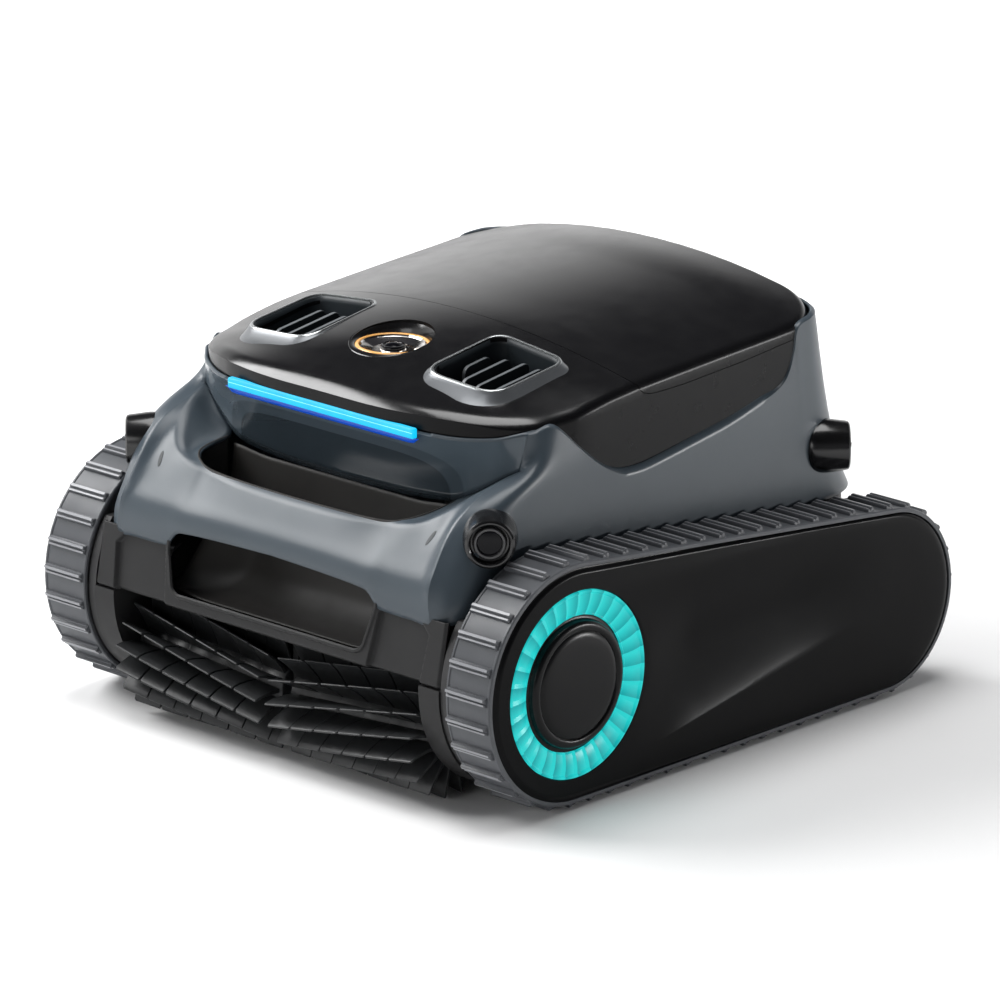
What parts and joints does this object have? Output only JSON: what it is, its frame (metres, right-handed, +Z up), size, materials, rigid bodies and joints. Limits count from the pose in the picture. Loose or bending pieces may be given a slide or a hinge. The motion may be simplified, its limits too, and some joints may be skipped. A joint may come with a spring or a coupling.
{
  "type": "robotic pool cleaner",
  "caption": "Cordless tracked robotic pool cleaner with a front roller brush, carrying bar, hinged filter lid, top jet vents and lit wheel rings.",
  "frame": {"origin": "on the floor under the middle of the machine's box", "axes": "+Z up, -Y towards the brush and carrying bar, +X to the right as seen from the front"},
  "size_m": [0.4436, 0.4838, 0.2989],
  "materials": {
    "shell_grey": "satin blue-grey moulding",
    "gloss_black": "piano black",
    "frame_black": "fine-grained matte black",
    "chassis_black": "matte",
    "track_rubber": "mid-grey rubber",
    "brush_rubber": "black rubber",
    "ring_light": "lit light guide",
    "strip_light": "lit light guide",
    "vent_metal": "satin dark grey",
    "vent_black": "matte",
    "sensor_black": "satin",
    "lens_dark": "dark lens",
    "bezel_grey": "satin",
    "amber": "translucent amber",
    "reflector": "faceted bright metal",
    "steel": "stainless",
    "gear_nylon": "natural nylon",
    "wheel_black": "matte",
    "filter_grey": "matte",
    "filter_mesh": "fine woven mesh",
    "gasket": "soft seal",
    "battery_wrap": "shrink wrap",
    "motor_can": "satin",
    "impeller_plastic": "matte"
  },
  "bodies": {
    "chassis": {"bottom_plate": "chassis_black", "side_frame_left": "chassis_black", "side_frame_right": "chassis_black", "rear_panel": "chassis_black", "front_frame": "frame_black", "cavity_scoop": "gloss_black", "cavity_panel": "gloss_black", "upper_shell": "shell_grey", "top_frame": "gloss_black", "light_strip": "strip_light", "vent_frame_left": "vent_metal", "vent_frame_right": "vent_metal", "vent_fins_left": "vent_black", "vent_fins_right": "vent_black", "top_sensor_bezel": "bezel_grey", "top_sensor_ring": "amber", "top_sensor_reflector": "reflector", "top_sensor_lens": "lens_dark", "sensor_housings": "sensor_black", "sensor_lenses": "lens_dark", "gear_case_left": "frame_black", "gear_case_right": "frame_black", "drive_motors": "motor_can", "track_belt_left": "track_rubber", "track_belt_right": "track_rubber", "side_cover_left": "gloss_black", "side_cover_right": "gloss_black", "light_ring_left": "ring_light", "light_ring_right": "ring_light", "hub_cap_left": "gloss_black", "hub_cap_right": "gloss_black", "track_cores": "chassis_black", "rear_axles": "steel", "brush_axle": "steel", "brush_bracket": "frame_black", "intake_duct": "filter_grey", "filter_tub": "filter_grey", "filter_basket": "filter_grey", "basket_mesh": "filter_mesh", "battery_pack": "battery_wrap", "control_box": "chassis_black", "pump_motors": "motor_can", "pump_ducts": "filter_grey", "chassis_screws": "steel", "lid_hinge_pins": "steel", "lid_gasket": "gasket"},
    "lid": {"filter_lid": "gloss_black"},
    "flap": {"intake_flap": "gasket"},
    "drive_wheel_left": {"front_wheel_left": "wheel_black", "drive_gear_left": "gear_nylon"},
    "drive_wheel_right": {"front_wheel_right": "wheel_black", "drive_gear_right": "gear_nylon"},
    "idler_left": {"rear_wheel_left": "wheel_black"},
    "idler_right": {"rear_wheel_right": "wheel_black"},
    "brush_half_left": {"brush_left": "brush_rubber"},
    "brush_half_right": {"brush_right": "brush_rubber"},
    "pinion_left": {"motor_pinion_left": "steel"},
    "pinion_right": {"motor_pinion_right": "steel"},
    "pump_rotor_left": {"impeller_left": "impeller_plastic"},
    "pump_rotor_right": {"impeller_right": "impeller_plastic"}
  },
  "joints": [
    {"name": "lid_hinge", "type": "hinge", "parent": "chassis", "child": "lid", "pos_m": [0, 0.172, 0.267], "axis": [-1, 0, 0], "range_deg": [0, 75]},
    {"name": "flap_hinge", "type": "hinge", "parent": "chassis", "child": "flap", "pos_m": [0, -0.0315, 0.1261], "axis": [1, 0, 0], "range_deg": [0, 60]},
    {"name": "drive_wheel_left_spin", "type": "hinge", "parent": "chassis", "child": "drive_wheel_left", "pos_m": [-0.19, -0.1525, 0.089], "axis": [1, 0, 0], "continuous": true},
    {"name": "idler_left_spin", "type": "hinge", "parent": "chassis", "child": "idler_left", "pos_m": [-0.19, 0.1715, 0.071], "axis": [1, 0, 0], "continuous": true},
    {"name": "brush_left_spin", "type": "hinge", "parent": "chassis", "child": "brush_half_left", "pos_m": [-0.08, -0.19634, 0.04516], "axis": [1, 0, 0], "continuous": true},
    {"name": "pinion_left_spin", "type": "hinge", "parent": "chassis", "child": "pinion_left", "pos_m": [-0.155, -0.11149, 0.04799], "axis": [1, 0, 0], "continuous": true},
    {"name": "pump_left_spin", "type": "hinge", "parent": "chassis", "child": "pump_rotor_left", "pos_m": [-0.089, -0.096, 0.17], "axis": [0, 0, 1], "continuous": true},
    {"name": "drive_wheel_right_spin", "type": "hinge", "parent": "chassis", "child": "drive_wheel_right", "pos_m": [0.19, -0.1525, 0.089], "axis": [1, 0, 0], "continuous": true},
    {"name": "idler_right_spin", "type": "hinge", "parent": "chassis", "child": "idler_right", "pos_m": [0.19, 0.1715, 0.071], "axis": [1, 0, 0], "continuous": true},
    {"name": "brush_right_spin", "type": "hinge", "parent": "chassis", "child": "brush_half_right", "pos_m": [0.08, -0.19634, 0.04516], "axis": [1, 0, 0], "continuous": true},
    {"name": "pinion_right_spin", "type": "hinge", "parent": "chassis", "child": "pinion_right", "pos_m": [0.155, -0.11149, 0.04799], "axis": [1, 0, 0], "continuous": true},
    {"name": "pump_right_spin", "type": "hinge", "parent": "chassis", "child": "pump_rotor_right", "pos_m": [0.089, -0.096, 0.17], "axis": [0, 0, 1], "continuous": true}
  ],
  "couplings": [
    {"joint": "idler_left_spin", "follows": "drive_wheel_left_spin", "ratio": 1.2769},
    {"joint": "brush_left_spin", "follows": "drive_wheel_left_spin", "ratio": -2.875},
    {"joint": "pinion_left_spin", "follows": "drive_wheel_left_spin", "ratio": -3.8333},
    {"joint": "idler_right_spin", "follows": "drive_wheel_right_spin", "ratio": 1.2769},
    {"joint": "brush_right_spin", "follows": "drive_wheel_right_spin", "ratio": -2.875},
    {"joint": "pinion_right_spin", "follows": "drive_wheel_right_spin", "ratio": -3.8333}
  ]
}
